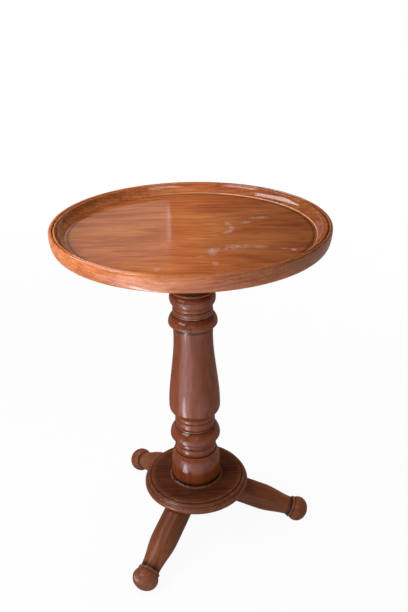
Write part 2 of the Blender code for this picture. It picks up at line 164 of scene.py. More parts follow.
# Screws
SCREW_HEAD_RADIUS = 0.0044
SCREW_HEAD_HEIGHT = 0.0030
SCREW_SHANK_RADIUS = 0.0022
SCREW_POINT_LENGTH = 0.0035
SCREW_SLOT_WIDTH = 0.0009
SCREW_SLOT_DEPTH = 0.0012

# Camera, at the photograph's viewing angle
IMAGE_HEIGHT = 612
CAMERA_PLACE = (0.0, -1.1500, 1.0673)
CAMERA_PITCH = 0.4544
CAMERA_YAW = 0.0191
CAMERA_ROLL = -0.0142
FOCAL_LENGTH_IN_PIXELS = 692.6
SENSOR_HEIGHT = 36.0
HALF_PIXEL = 0.5 / IMAGE_HEIGHT

# Studio
FLOOR_HALF_SIZE = 60.0
FLOOR_COLOUR = (0.80, 0.79, 0.78, 1.0)
FLOOR_ROUGHNESS = 0.9
FLOOR_SHADOW_SHARE = 0.06
SHADOW_RADIUS = 0.4
SHADOW_END = 2.2
SKY_LIGHT = 0.22
SKY_SEEN = 0.10
BACKDROP_TOP = math.radians(6)
BACKDROP_END = math.radians(15)
WHITE = (1.0, 1.0, 1.0, 1.0)
DAYLIGHT = (0.93, 0.95, 1.0)
COOL_LIGHT = (0.90, 0.90, 1.0)
TABLE_MIDDLE = (0.0, 0.0, 0.42)
PANEL_MIDDLE = (0.0, 0.0, 0.66)

# Grain. A noise is in clouds per metre, with the wood's length last, then detail and roughness
SWAY_NOISE = ((9.0, 9.0, 4.0), 2.0, 0.5)
SWAY = 0.020
FIGURE_NOISE = ((64.0, 64.0, 11.0), 4.0, 0.60)
FIGURE_SHARE = 0.44
STREAK_NOISE = ((400.0, 400.0, 12.0), 4.0, 0.54)
STREAK_SHARE = 0.48
RING_STRETCH = (1.0, 1.0, 0.03)
RING_TURN_PER_METRE = 900.0
RING_WANDER = 9.0
RING_SHARE = 0.08
TONE_RANGE = (0.35, 0.65)
PORE_NOISE = ((700.0, 700.0, 36.0), 2.0, 0.5)
PORE_RANGE = (0.57, 0.68)
PORE_SHARE = 0.28
PORE_DARKENING = 0.3
CAST_NOISE = ((14.0, 14.0, 7.0), 3.0, 0.5)
CASTS = ((0.32, (0.88, 0.78, 0.70)), (0.68, (1.06, 1.14, 1.10)))

# Dark wax and painted shade in hollows, and wear on ridges, with depths in millimetres
PATCH_NOISE = ((60.0, 60.0, 60.0), 3.0, 0.5)
WAX_AND_SHADE_COLOUR = (0.010, 0.005, 0.003, 1.0)
WAX_AND_SHADE_DEPTHS = (0.07, 0.32)
WAX_AND_SHADE_PATCHES = (0.25, 0.6)
WAX_AND_SHADE_COVER = (0.75, 0.96)
WORN_DEPTHS = (-0.10, -0.45)
WORN_PATCHES = (0.35, 0.7)
LEAST_WEAR = 0.15
WORN_LIGHTENING = 1.15

# Polish. A bump is a strength and a depth in metres
WOOD_IOR = 1.47
STREAK_RANGE = (0.3, 0.7)
STREAK_RELIEF = 0.4
ROUGHNESS_DROP = 0.07
ROUGHNESS_RISE = 0.10
MARK_ROUGHNESS = 0.3
SWELL_NOISE = ((38.0, 38.0, 38.0), 2.0, 0.5)
COAT_PORE_RELIEF = -0.01
GRAIN_BUMP = (0.22, 0.0002)
COAT_BUMP = (0.05, 0.0012)

# Dust round the column's foot and in the collar's groove
DUST_COLOUR = (0.32, 0.27, 0.23, 1.0)
DUST_NOISE = ((70.0, 70.0, 70.0), 4.0, 0.7)
DUST_RANGE = (0.38, 0.62)
FOOT_DUST_HALF_WIDTH = 0.0016
FOOT_DUST_SHARE = 0.35
COLLAR_DUST_HALF_WIDTH = 0.0020
COLLAR_DUST_SHARE = 0.75
DISC_DUST_HALF_WIDTH = 0.0022
DISC_DUST_SHARE = 0.4

# Painted light and shade on the base: the disc is painted darker as shade under the top and paler at its
# edge as painted light, and each leg is painted darker at its root as shade
DISC_DARK_RADIUS = 0.082
DISC_PAINTED_SHADE = 0.90
DISC_EDGE_PAINTED_LIGHT = 1.75
LEG_PAINTED_SHADE_AND_LIGHT = (
    (0.00, (0.74, 0.73, 0.72)),
    (0.28, (0.80, 0.80, 0.79)),
    (0.66, (1.05, 1.07, 1.10)),
    (1.00, (0.97, 0.99, 1.05)),
)

# Painted light and shade on the top: lighter on the left, darker to the right, and painted shade inside
# the rim on the left. The arris at the panel's edge is pale from rubbing and is also a painted highlight
# The upper side is measured down from the panel
PAINTED_FALLOFF_REACH = (-0.20, 0.20)
TOP_PAINTED_LIGHT_FALLOFF = (
    (0.10, (1.14, 1.14, 1.14)),
    (0.49, (1.16, 1.16, 1.16)),
    (0.69, (0.95, 0.94, 0.93)),
    (0.92, (0.72, 0.70, 0.68)),
)
DISH_EDGE = (TOP_RADIUS - 0.013, TOP_RADIUS - 0.009)
LEFT_DISH_PAINTED_SHADE_REACH = (-0.20, -0.03)
DISH_PAINTED_SHADE_FACTOR = 0.64
UPPER_SIDE_START = 0.0006
UPPER_SIDE_END = 0.0002
CLEAN_EDGE = (0.003, 0.005)
# The arris colour is rubbed wood and also a painted highlight, which fades out on the left as painted
# shade
PALE_ARRIS_AND_HIGHLIGHT_COLOUR = (0.72, 0.40, 0.20, 1.0)
ARRIS_EDGE = (0.0003, 0.0009)
ARRIS_LIT_SIDE_REACH = (-0.10, 0.08)
ARRIS_SHARE = 0.60

# Scuffs on the panel: the spread widens each one, and streaky noise breaks it up
SCUFF_COLOUR = (0.62, 0.52, 0.47, 1.0)
SCUFF_SPREAD = 2.6
SCUFF_APART = 7.3
SCUFF_FALL = (0.1, 1.0)
RUBBING_NOISE = ((2.6, 6.0, 1.0), 5.0, 0.75)
RUBBING_RANGE = (0.47, 0.62)
MOST_SCUFFED = 0.72

# Screw steel
BRUSHED_NOISE = ((900.0, 5000.0, 900.0), 3.0, 0.5)
BRUSHED_RANGE = (0.3, 0.7)
STEEL_ROUGHNESS = (0.30, 0.52)
STEEL_BUMP = (0.2, 0.0001)
TARNISH_NOISE = ((420.0, 420.0, 420.0), 3.0, 0.5)
STEEL_TARNISH = ((0.35, (0.22, 0.19, 0.16)), (0.65, (0.55, 0.53, 0.49)))


@dataclass(frozen=True)
class Wood:
    """Colours and finish of one kind of wood. The turn, in degrees, lays the wood's length along Z."""

    dark: tuple
    middle: tuple
    light: tuple
    turn: tuple
    pith: tuple
    roughness: float
    wear: float
    coat: float = 0.0
    coat_roughness: float = 0.3
    coat_ior: float = 1.48


@dataclass(frozen=True)
class Scuff:
    """A rubbed mark on the panel: its middle, half size, direction in degrees and strength."""

    x: float
    y: float
    half_length: float
    half_width: float
    turn: float
    strength: float


@dataclass(frozen=True)
class Lamp:
    """A soft rectangular lamp. One with no target lies just above the floor and shines up."""

    name: str
    place: tuple
    size: tuple
    power: float
    target: tuple = None
    heading: float = 0.0


TOP_WOOD = Wood(
    dark=(0.245, 0.064, 0.019),
    middle=(0.362, 0.104, 0.031),
    light=(0.485, 0.156, 0.049),
    turn=(0.0, -88.5, 4.0),
    pith=(0.09, 0.06),
    roughness=0.36,
    coat=0.22,
    coat_roughness=0.07,
    coat_ior=2.0,
    wear=0.3,
)
COLUMN_WOOD = Wood(
    dark=(0.122, 0.0260, 0.0076),
    middle=(0.168, 0.038, 0.0115),
    light=(0.215, 0.0530, 0.0165),
    turn=(0.0, 1.2, 0.0),
    pith=(0.05, -0.12),
    roughness=0.34,
    coat=0.13,
    coat_roughness=0.12,
    coat_ior=2.2,
    wear=0.25,
)
BASE_WOOD = Wood(
    dark=(0.148, 0.043, 0.017),
    middle=(0.198, 0.059, 0.023),
    light=(0.248, 0.077, 0.030),
    turn=(0.0, 1.0, 0.0),
    pith=(0.06, 0.08),
    roughness=0.42,
    coat=0.12,
    coat_roughness=0.33,
    coat_ior=2.0,
    wear=0.4,
)
# The disc is the base's mahogany painted darker, as shade under the top
SHADED_DISC_WOOD = Wood(
    dark=(0.058, 0.016, 0.006),
    middle=(0.088, 0.025, 0.010),
    light=(0.125, 0.038, 0.015),
    turn=(0.0, -89.0, 12.0),
    pith=(0.07, 0.05),
    roughness=0.42,
    coat=0.11,
    coat_roughness=0.24,
    coat_ior=2.0,
    wear=0.8,
)
BEARER_WOOD = Wood(
    dark=(0.110, 0.045, 0.018),
    middle=(0.200, 0.085, 0.036),
    light=(0.290, 0.135, 0.062),
    turn=(0.0, -89.0, 90.0),
    pith=(0.10, 0.04),
    roughness=0.62,
    wear=0.2,
)
WEDGE_WOOD = Wood(
    dark=(0.280, 0.150, 0.060),
    middle=(0.420, 0.250, 0.110),
    light=(0.540, 0.350, 0.180),
    turn=(0.0, 0.0, 0.0),
    pith=(0.04, 0.05),
    roughness=0.66,
    wear=0.0,
)
PANEL_SCUFFS = (
    Scuff(0.064, -0.014, 0.014, 0.0030, 47.0, 1.4),
    Scuff(0.066, 0.028, 0.013, 0.0026, -63.0, 1.0),
    Scuff(0.072, 0.007, 0.013, 0.0024, 92.0, 1.0),
    Scuff(0.125, 0.058, 0.024, 0.0026, 7.0, 1.1),
    Scuff(0.099, 0.033, 0.015, 0.0026, 20.0, 1.0),
    Scuff(0.035, -0.100, 0.016, 0.0050, 47.0, 0.9),
    Scuff(0.072, -0.088, 0.034, 0.0056, 5.0, 0.8),
    Scuff(0.112, -0.088, 0.018, 0.0040, -13.0, 0.7),
    Scuff(0.034, -0.112, 0.009, 0.0070, 0.0, 0.6),
    Scuff(0.166, -0.104, 0.006, 0.0024, 0.0, 2.0),
    Scuff(0.152, -0.098, 0.012, 0.0018, -13.0, 0.6),
    Scuff(0.037, -0.156, 0.007, 0.0036, 15.0, 0.8),
    Scuff(-0.054, -0.175, 0.007, 0.0036, -20.0, 0.8),
    Scuff(0.013, -0.126, 0.012, 0.0020, 35.0, 0.4),
)

# Lamps, with power in watts and headings in degrees
WINDOWS = (
    Lamp("window_left_back", (-0.55, 0.45, 1.45), (0.5, 0.5), 6.0, PANEL_MIDDLE),
    Lamp("window_left", (-0.75, -0.50, 1.15), (0.6, 0.6), 12.0, PANEL_MIDDLE),
    Lamp("window_front", (-0.3, -2.3, 1.30), (1.8, 1.2), 10.0, TABLE_MIDDLE),
    Lamp("sky_above", (-0.2, 0.1, 2.4), (1.4, 1.4), 3.0, PANEL_MIDDLE),
    Lamp("window_back_left", (-0.495, 3.0, 1.70), (0.7, 0.5), 1.05, PANEL_MIDDLE),
    Lamp("window_edge", (-0.137, 3.0, 1.685), (0.014, 0.23), 0.045, PANEL_MIDDLE),
)
FILL = Lamp("soft_right", (1.45, 1.5, 0.85), (1.2, 1.2), 18.0, TABLE_MIDDLE)
FLOOR_GLOWS = (
    Lamp("glow_front", (-0.30, -1.15, 0.010), (1.8, 1.7), 9.0),
    Lamp("glow_front_left", (-0.75, -0.85, 0.012), (1.0, 1.3), 10.0),
)
GLEAMS = (
    Lamp("gleam_left_back", (-0.56, 0.46, 1.46), (0.5, 0.5), 5.0, PANEL_MIDDLE),
    Lamp("gleam_above_front", (0.39, -0.60, 1.6), (0.5, 0.5), 4.6, TABLE_MIDDLE),
    Lamp("gleam_left", (-0.82, -0.76, 0.014), (1.65, 0.46), 5.2, heading=43.0),
    Lamp("gleam_near_left", (-0.366, -0.341, 0.016), (0.50, 0.11), 2.4, heading=43.0),
    Lamp("gleam_near_front", (-0.15, -0.85, 0.018), (0.6, 1.3), 1.6),
    Lamp("gleam_front_left", (-1.15, -1.30, 0.020), (1.0, 0.5), 1.2, heading=-41.6),
    Lamp("gleam_front", (-0.20, -1.68, 0.022), (0.9, 0.5), 1.0),
)


class Outline:
    """Half-section of a turned piece, as (radius, height) points with the wood on their left."""

    def __init__(self, radius, height):
        self.points = [(radius, height)]

    def end_height(self):
        return self.points[-1][1]

    def above(self, rise):
        return self.end_height() + rise

    def line_to(self, radius, height):
        self.points.append((radius, height))

    def curve_to(self, radius, height, shares):
        """Goes to a point by shares of the way there, each a pair: across the axis and along it."""
        start_radius, start_height = self.points[-1]
        for across, along in shares:
            self.line_to(
                start_radius + (radius - start_radius) * across,
                start_height + (height - start_height) * along,
            )

    def level_to(self, radius, height):
        """Quarter curve that leaves level, square to the axis, and arrives upright."""
        self.curve_to(radius, height, [(math.sin(turn), 1 - math.cos(turn)) for turn in QUARTER_TURNS])

    def upright_to(self, radius, height):
        """Quarter curve that leaves upright, along the axis, and arrives level."""
        self.curve_to(radius, height, [(1 - math.cos(turn), math.sin(turn)) for turn in QUARTER_TURNS])

    def arc_to(self, radius, height):
        """Circular arc that leaves upright and ends at a slant."""
        self.points += arc_points(self.points[-1], (radius, height))[1:]

    def arc_up_to(self, radius, height):
        """Circular arc that leaves at a slant and arrives upright."""
        self.points += arc_points((radius, height), self.points[-1])[-2::-1]

    def ease_to(self, radius, height):
        """S-curve that leaves and arrives along the axis."""
        self.curve_to(radius, height, [(share * share * (3 - 2 * share), share) for share in EASE_SHARES])

    def bow_to(self, radius, height, turn):
        """Circular arc that bends by a given turn, to the left if it is positive."""
        start_radius, start_height = self.points[-1]
        across = radius - start_radius
        along = height - start_height
        spread = 2 * math.sin(turn / 2)
        for step in range(1, CURVE_STEPS + 1):
            angle = turn * (step / CURVE_STEPS - 0.5)
            forward = 0.5 + math.sin(angle) / spread
            sideways = (math.cos(angle) - math.cos(turn / 2)) / spread
            self.line_to(
                start_radius + across * forward + along * sideways,
                start_height + along * forward - across * sideways,
            )

    def bead_to(self, crown, foot, height):
        self.level_to(crown, self.above(height / 2))
        self.upright_to(foot, self.above(height / 2))


def arc_points(upright_end, slanted_end):
    """Points of a circular arc that is upright at its first end."""
    across = slanted_end[0] - upright_end[0]
    along = slanted_end[1] - upright_end[1]
    arc_radius = (across**2 + along**2) / (2 * abs(across))
    whole_turn = 2 * math.atan2(abs(across), abs(along))
    points = []
    for step in range(CURVE_STEPS + 1):
        turn = whole_turn * step / CURVE_STEPS
        radius = upright_end[0] + math.copysign(arc_radius * (1 - math.cos(turn)), across)
        height = upright_end[1] + math.copysign(arc_radius * math.sin(turn), along)
        points.append((radius, height))
    return points


def evenly_spaced(points):
    spaced = [points[0]]
    for start, end in zip(points, points[1:]):
        count = max(1, math.ceil(math.dist(start, end) / PROFILE_STEP))
        for step in range(1, count + 1):
            share = step / count
            radius = start[0] + (end[0] - start[0]) * share
            height = start[1] + (end[1] - start[1]) * share
            spaced.append((radius, height))
    return spaced


def smoothed(points, passes):
    """Rounds off corners. The two end points stay."""
    for _ in range(passes):
        inner = [
            ((before[0] + 2 * here[0] + after[0]) / 4, (before[1] + 2 * here[1] + after[1]) / 4)
            for before, here, after in zip(points, points[1:], points[2:])
        ]
        points = [points[0], *inner, points[-1]]
    return points


def hollow_depths(points):
    """How far each point lies below the outline's broad course, in millimetres. Ridges are negative."""
    broad = smoothed(points, BROAD_SMOOTHING_PASSES)
    depths = [0.0]
    for index in range(1, len(points) - 1):
        across = points[index + 1][0] - points[index - 1][0]
        along = points[index + 1][1] - points[index - 1][1]
        length = max(math.hypot(across, along), LEAST_STEP)
        outward = (along / length, -across / length)
        offset = (broad[index][0] - points[index][0], broad[index][1] - points[index][1])
        depth = offset[0] * outward[0] + offset[1] * outward[1]
        depths.append(MILLIMETRES_PER_METRE * depth)
    depths.append(0.0)
    return depths


def kept_places(points):
    """Indices of the points that carry the outline's form, closer together where it turns."""
    kept = [0]
    turn_so_far = 0.0
    for index in range(1, len(points) - 1):
        before, here, after = points[index - 1 : index + 2]
        first = math.atan2(here[1] - before[1], here[0] - before[0])
        second = math.atan2(after[1] - here[1], after[0] - here[0])
        turn_so_far += abs(math.remainder(second - first, math.tau))
        if turn_so_far > MOST_TURN_PER_FACE or math.dist(points[kept[-1]], here) > LONGEST_FACE:
            kept.append(index)
            turn_so_far = 0.0
    kept.append(len(points) - 1)
    return kept


def add_object(name, data):
    added = bpy.data.objects.new(name, data)
    bpy.context.collection.objects.link(added)
    return added


def object_from(name, shape):
    mesh = bpy.data.meshes.new(name)
    shape.to_mesh(mesh)
    shape.free()
    return add_object(name, mesh)


def spun_mesh(name, points, segments, closed):
    """Spins points round Z. A closed section joins its last point to its first."""
    vertices = []
    for segment in range(segments):
        turn = math.tau * segment / segments
        for radius, height in points:
            vertices.append((radius * math.cos(turn), radius * math.sin(turn), height))
    count = len(points)
    spans = count if closed else count - 1
    faces = []
    for segment in range(segments):
        here = segment * count
        after = (segment + 1) % segments * count
        for index in range(spans):
            following = (index + 1) % count
            faces.append((here + index, after + index, after + following, here + following))
    mesh = bpy.data.meshes.new(name)
    mesh.from_pydata(vertices, [], faces)
    return mesh


def tidied(mesh):
    """Merges points that meet, drops faces with no area, and shades the mesh smooth."""
    shape = bmesh.new()
    shape.from_mesh(mesh)
    bmesh.ops.remove_doubles(shape, verts=shape.verts[:], dist=MERGE_DISTANCE)
    bmesh.ops.dissolve_degenerate(shape, edges=shape.edges[:], dist=MERGE_DISTANCE)
    bmesh.ops.recalc_face_normals(shape, faces=shape.faces[:])
    shape.to_mesh(mesh)
    shape.free()
    mesh.shade_smooth()
    mesh.set_sharp_from_angle(angle=SHARP_ANGLE)
    return mesh


def turned(name, outline, segments, closed=False):
    """A turned piece with softened edges, which remembers how deep each point lies in a hollow."""
    points = outline.points + (outline.points[:1] if closed else [])
    points = smoothed(evenly_spaced(points), EDGE_SOFTENING_PASSES)
    depths = hollow_depths(points)
    kept = kept_places(points)
    if closed:
        kept = kept[:-1]
    mesh = spun_mesh(name, [points[index] for index in kept], segments, closed)
    hollow = mesh.attributes.new("hollow", "FLOAT", "POINT")
    for segment in range(segments):
        for place, index in enumerate(kept):
            hollow.data[segment * len(kept) + place].value = depths[index]
    return add_object(name, tidied(mesh))


def plain_turned(name, points, segments):
    """A turned shape with its corners as they are."""
    return add_object(name, tidied(spun_mesh(name, points, segments, False)))


def joined(name, pieces):
    """One object from several."""
    shape = bmesh.new()
    for piece in pieces:
        copy = piece.data.copy()
        copy.transform(piece.matrix_basis)
        shape.from_mesh(copy)
        bpy.data.meshes.remove(copy)
        remove(piece)
    return object_from(name, shape)


def remove(piece):
    mesh = piece.data
    bpy.data.objects.remove(piece)
    bpy.data.meshes.remove(mesh)


def carve(piece, cutters, shared_cutters=()):
    """Takes the cutters' shapes out of a piece, for good. Only the shared cutters are left."""
    for cutter in (*shared_cutters, *cutters):
        boolean = piece.modifiers.new("Cut " + cutter.name, "BOOLEAN")
        boolean.operation = "DIFFERENCE"
        boolean.solver = "EXACT"
        boolean.object = cutter
    bpy.context.view_layer.update()
    seen = piece.evaluated_get(bpy.context.evaluated_depsgraph_get())
    carved = tidied(bpy.data.meshes.new_from_object(seen))
    piece.modifiers.clear()
    plain = piece.data
    piece.data = carved
    bpy.data.meshes.remove(plain)
    for cutter in cutters:
        remove(cutter)


def block(name, length, lower, upper):
    """A block between two (height, thickness) ends, with its length along X."""
    shape = bmesh.new()
    for height, thickness in (lower, upper):
        for x_side in (-1, 1):
            for y_side in (-1, 1):
                shape.verts.new((x_side * length / 2, y_side * thickness / 2, height))
    bmesh.ops.convex_hull(shape, input=shape.verts[:])
    bmesh.ops.recalc_face_normals(shape, faces=shape.faces[:])
    return object_from(name, shape)


def bottom_of(node):
    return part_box(node)[0].z


def top_of(node):
    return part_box(node)[1].z


def middle_of(node):
    low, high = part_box(node)
    return (low.x + high.x) / 2, (low.y + high.y) / 2


def screw_names(start):
    return [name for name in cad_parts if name.startswith(start)]


def screw_holes(name, screws, lower_end):
    """The stepped holes of some screws, as one shape that opens downward."""
    holes = []
    for screw in screws:
        head_seat = bottom_of(screw) + SCREW_HEAD_HEIGHT + FIT_GAP
        tip = top_of(screw) + FIT_GAP
        shank = SCREW_SHANK_RADIUS + FIT_GAP
        head = SCREW_HEAD_RADIUS + FIT_GAP
        head_points = [(0.0, lower_end), (head, lower_end), (head, head_seat)]
        shank_points = [(shank, head_seat), (shank, tip), (0.0, tip)]
        hole = plain_turned(name, head_points + shank_points, SCREW_SEGMENTS)
        hole.location = (*middle_of(screw), 0.0)
        holes.append(hole)
    return joined(name, holes)


def dress(piece, material, node):
    """Gives a piece its material, and puts it in the place of a CAD node."""
    piece.data.materials.clear()
    piece.data.materials.append(material)
    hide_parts(node)
    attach(piece, "root")


def make_tabletop():
    bottom = bottom_of("tabletop")
    panel = bottom + PANEL_THICKNESS
    crest = panel + DISH_DEPTH
    bead_top = crest - RIM_BEAD_DROP
    cove_top = bead_top - RIM_BEAD_HEIGHT
    groove_bottom = crest - RIM_GROOVE_DEPTH
    crown_radius = TOP_RADIUS - RIM_ROLL_WIDTH
    groove_edge = crown_radius - RIM_CROWN_WIDTH
    bead_radius = groove_edge - RIM_GROOVE_WIDTH
    cove_radius = bead_radius - RIM_BEAD_WIDTH
    panel_radius = cove_radius - COVE_WIDTH
    edge_radius = panel_radius + PANEL_STEP_WIDTH

    outline = Outline(0.0, bottom)
    outline.line_to(TOP_RADIUS - RIM_UNDERCUT_WIDTH, bottom)
    outline.level_to(TOP_RADIUS, crest - RIM_ROLL_HEIGHT)
    outline.upright_to(crown_radius, crest)
    outline.level_to(groove_edge, groove_bottom)
    outline.line_to(bead_radius, groove_bottom)
    outline.upright_to(bead_radius - RIM_BEAD_WIDTH / 2, bead_top)
    outline.level_to(cove_radius, cove_top)
    outline.bow_to(edge_radius, panel + PANEL_STEP_HEIGHT, -COVE_TURN)
    outline.line_to(panel_radius, panel)
    outline.line_to(0.0, panel)
    tabletop = turned("fine_tabletop", outline, TOP_SEGMENTS)
    holes = screw_holes("top_holes", screw_names("bearer_screw"), bottom_of("top_bearer"))
    carve(tabletop, [holes])
    dress(tabletop, top_material(panel, edge_radius), "tabletop")


def make_bearer():
    bottom = bottom_of("top_bearer")
    top = top_of("top_bearer")
    hole = TOP_TENON_RADIUS + FIT_GAP
    outline = Outline(hole, bottom)
    outline.line_to(BEARER_RADIUS - BEARER_ROUND, bottom)
    outline.level_to(BEARER_RADIUS, bottom + BEARER_ROUND)
    outline.line_to(BEARER_RADIUS, top)
    outline.line_to(hole, top)
    bearer = turned("fine_bearer", outline, DISC_SEGMENTS, closed=True)
    holes = screw_holes("bearer_holes", screw_names("bearer_screw"), bottom - SCREW_HEAD_HEIGHT)
    carve(bearer, [holes])
    dress(bearer, wood_material("bearer_finish", BEARER_WOOD), "top_bearer")


def column_outline():
    """The column's outline, and the heights of the two places where dust gathers."""
    foot = top_of("base_disc") + FIT_GAP
    outline = Outline(0.0, bottom_of("column"))
    outline.line_to(FOOT_TENON_RADIUS, bottom_of("column"))
    outline.line_to(FOOT_TENON_RADIUS, foot)
    add_foot(outline, foot)
    add_neck(outline, FOOT_NECK_RADIUS, FOOT_NECK_BEADS)
    add_swelling(outline, BULGE_RADIUS, BULGE_HEIGHTS, BELLY_NECK_RADIUS)
    add_neck(outline, BELLY_NECK_RADIUS, BELLY_NECK_BEADS)
    add_baluster(outline)
    add_swelling(outline, COLLAR_RADIUS, COLLAR_HEIGHTS, CAP_NECK_RADIUS)
    collar_groove = outline.end_height()
    add_neck(outline, CAP_NECK_RADIUS, CAP_NECK_BEADS)
    add_cushion(outline)
    add_cap(outline)
    outline.line_to(TOP_TENON_RADIUS, outline.end_height())
    outline.line_to(TOP_TENON_RADIUS, top_of("column"))
    outline.line_to(0.0, top_of("column"))
    return outline, (foot, collar_groove)


def add_foot(outline, foot):
    outline.line_to(FOOT_RING_RADIUS, foot)
    outline.upright_to(FOOT_DRUM_RADIUS, foot + FOOT_RING_HEIGHT)
    outline.line_to(FOOT_DRUM_RADIUS, outline.above(FOOT_DRUM_HEIGHT))
    outline.arc_to(FOOT_SHOULDER_RADIUS, outline.above(FOOT_SHOULDER_HEIGHT))


def add_neck(outline, radius, bead_heights):
    outline.line_to(radius, outline.end_height())
    for height in bead_heights:
        outline.bead_to(radius + NECK_BEAD_SWELL, radius, height)


def add_swelling(outline, radius, heights, next_neck):
    """A round swelling, with a fillet as wide as the beads of the next neck."""
    lower, upper, fillet = heights
    fillet_radius = next_neck + NECK_BEAD_SWELL
    outline.level_to(radius, outline.above(lower))
    outline.arc_to(fillet_radius, outline.above(upper))
    outline.line_to(fillet_radius, outline.above(fillet))


def add_baluster(outline):
    outline.arc_up_to(BELLY_RADIUS, outline.above(BELLY_LOWER_HEIGHT))
    outline.ease_to(BALUSTER_NECK_RADIUS, outline.above(BALUSTER_TAPER_HEIGHT))
    outline.line_to(BALUSTER_NECK_RADIUS + BALUSTER_FLARE, outline.above(BALUSTER_FLARE_HEIGHT))


def add_cushion(outline):
    outline.line_to(CUSHION_FILLET_RADIUS, outline.end_height())
    outline.line_to(CUSHION_FILLET_RADIUS, outline.above(CUSHION_FILLET_HEIGHT))
    outline.level_to(CUSHION_RADIUS, outline.above(CUSHION_LOWER_HEIGHT))
    outline.arc_to(CUSHION_TOP_RADIUS, outline.above(CUSHION_UPPER_HEIGHT))


def add_cap(outline):
    outline.bead_to(CAP_RING_RADIUS, CAP_STEM_RADIUS, CAP_RING_HEIGHT)
    outline.line_to(CAP_STEM_RADIUS, outline.above(CAP_STEM_HEIGHT))
    outline.ease_to(CAP_FLARE_RADIUS, outline.above(CAP_FLARE_HEIGHT))
    outline.line_to(CAP_FILLET_RADIUS, outline.end_height())
    outline.line_to(CAP_FILLET_RADIUS, outline.above(CAP_FILLET_HEIGHT))


def wedge_kerf(name, tenon_radius, end, outward):
    """The saw kerf across a tenon's end. Outward is 1 if the tenon points up, and -1 if down."""
    inner = end - outward * (WEDGE_DEPTH + FIT_GAP)
    wide_end = (end + outward * FIT_GAP, WEDGE_THICK_END + 2 * FIT_GAP)
    narrow_end = (inner, WEDGE_THIN_END + 2 * FIT_GAP)
    return block(name, 2 * (tenon_radius + FIT_GAP), wide_end, narrow_end)


def make_column():
    outline, dusty_heights = column_outline()
    column = turned("fine_column", outline, COLUMN_SEGMENTS)
    kerfs = [
        wedge_kerf("top_kerf", TOP_TENON_RADIUS, top_of("column"), 1),
        wedge_kerf("foot_kerf", FOOT_TENON_RADIUS, bottom_of("column"), -1),
    ]
    carve(column, kerfs)
    dress(column, column_material(dusty_heights), "column")


def make_base_disc():
    bottom = bottom_of("base_disc")
    top = top_of("base_disc")
    hole = FOOT_TENON_RADIUS + FIT_GAP
    seat_radius = DISC_RADIUS - DISC_ROLL_WIDTH
    bead_radius = seat_radius - DISC_BEAD_WIDTH
    step_radius = bead_radius - DISC_GROOVE_WIDTH
    groove_bottom = top - DISC_GROOVE_DEPTH
    widest = bottom + DISC_ROLL_LOWER_HEIGHT

    outline = Outline(hole, bottom)
    outline.line_to(seat_radius, bottom)
    outline.level_to(DISC_RADIUS, widest)
    outline.upright_to(seat_radius, widest + DISC_ROLL_UPPER_HEIGHT)
    outline.upright_to(bead_radius + DISC_BEAD_WIDTH / 2, groove_bottom + DISC_BEAD_HEIGHT)
    outline.level_to(bead_radius, groove_bottom)
    outline.line_to(step_radius + DISC_GROOVE_WIDTH / 2, groove_bottom)
    outline.line_to(step_radius, top)
    outline.line_to(hole, top)
    disc = turned("fine_base_disc", outline, DISC_SEGMENTS, closed=True)
    holes = screw_holes("disc_holes", screw_names("leg_screw"), 0.0)
    carve(disc, [holes])
    dress(disc, disc_material(), "base_disc")


def leg_outline():
    """A leg from the tip of its ball to its inner end, with height 0 on the column's axis."""
    groove_radius = LEG_BALL_RADIUS - LEG_GROOVE_DEPTH
    groove_turn = math.asin(groove_radius / LEG_BALL_RADIUS)
    ball = -LEG_SPREAD / math.cos(LEG_TILT)
    ring = ball + LEG_BALL_HALF_LENGTH * math.cos(groove_turn)
    neck = ring + LEG_RING_WIDTH
    outline = Outline(0.0, ball - LEG_BALL_HALF_LENGTH)
    for step in range(1, EASE_STEPS + 1):
        turn = math.pi + (groove_turn - math.pi) * step / EASE_STEPS
        outline.line_to(LEG_BALL_RADIUS * math.sin(turn), ball + LEG_BALL_HALF_LENGTH * math.cos(turn))
    outline.level_to(LEG_NECK_RADIUS + LEG_RING_SWELL, ring + LEG_RING_WIDTH / 2)
    outline.upright_to(LEG_NECK_RADIUS, neck)
    outline.ease_to(LEG_SWELL_RADIUS, neck + LEG_TAPER_LENGTH)
    outline.line_to(LEG_ROOT_RADIUS, 0.0)
    outline.line_to(0.0, 0.0)
    return outline


def cylinder(name, radius, bottom, top):
    points = [(0.0, bottom), (radius, bottom), (radius, top), (0.0, top)]
    return plain_turned(name, points, DISC_SEGMENTS)


def make_legs():
    ball_reach_down = math.hypot(
        LEG_BALL_RADIUS * math.cos(LEG_TILT),
        LEG_BALL_HALF_LENGTH * math.sin(LEG_TILT),
    )
    axis_height = ball_reach_down - FOOT_FLAT_DEPTH + LEG_SPREAD * math.tan(LEG_TILT)
    below = -LEG_BALL_RADIUS
    above = axis_height + 2 * LEG_SWELL_RADIUS
    shared_cutters = [
        cylinder("hub_space", FOOT_TENON_RADIUS + FIT_GAP, below, above),
        cylinder("disc_space", DISC_RADIUS + FIT_GAP, bottom_of("base_disc") - FIT_GAP, above),
        cylinder("floor_space", LEG_SPREAD + 2 * LEG_BALL_RADIUS, below, 0.0),
    ]
    for side, heading in LEG_HEADINGS.items():
        leg = turned("fine_leg_" + side, leg_outline(), LEG_SEGMENTS)
        lean = Euler((0.0, LEG_TILT - math.pi / 2, heading))
        place = Vector((0.0, 0.0, axis_height))
        leg.data.transform(Matrix.LocRotScale(place, lean, None))
        holes = screw_holes("leg_holes", screw_names("leg_screw_" + side), below)
        carve(leg, [holes], shared_cutters)
        dress(leg, leg_material("leg_finish_" + side, place, lean), "leg_" + side)
    for cutter in shared_cutters:
        remove(cutter)


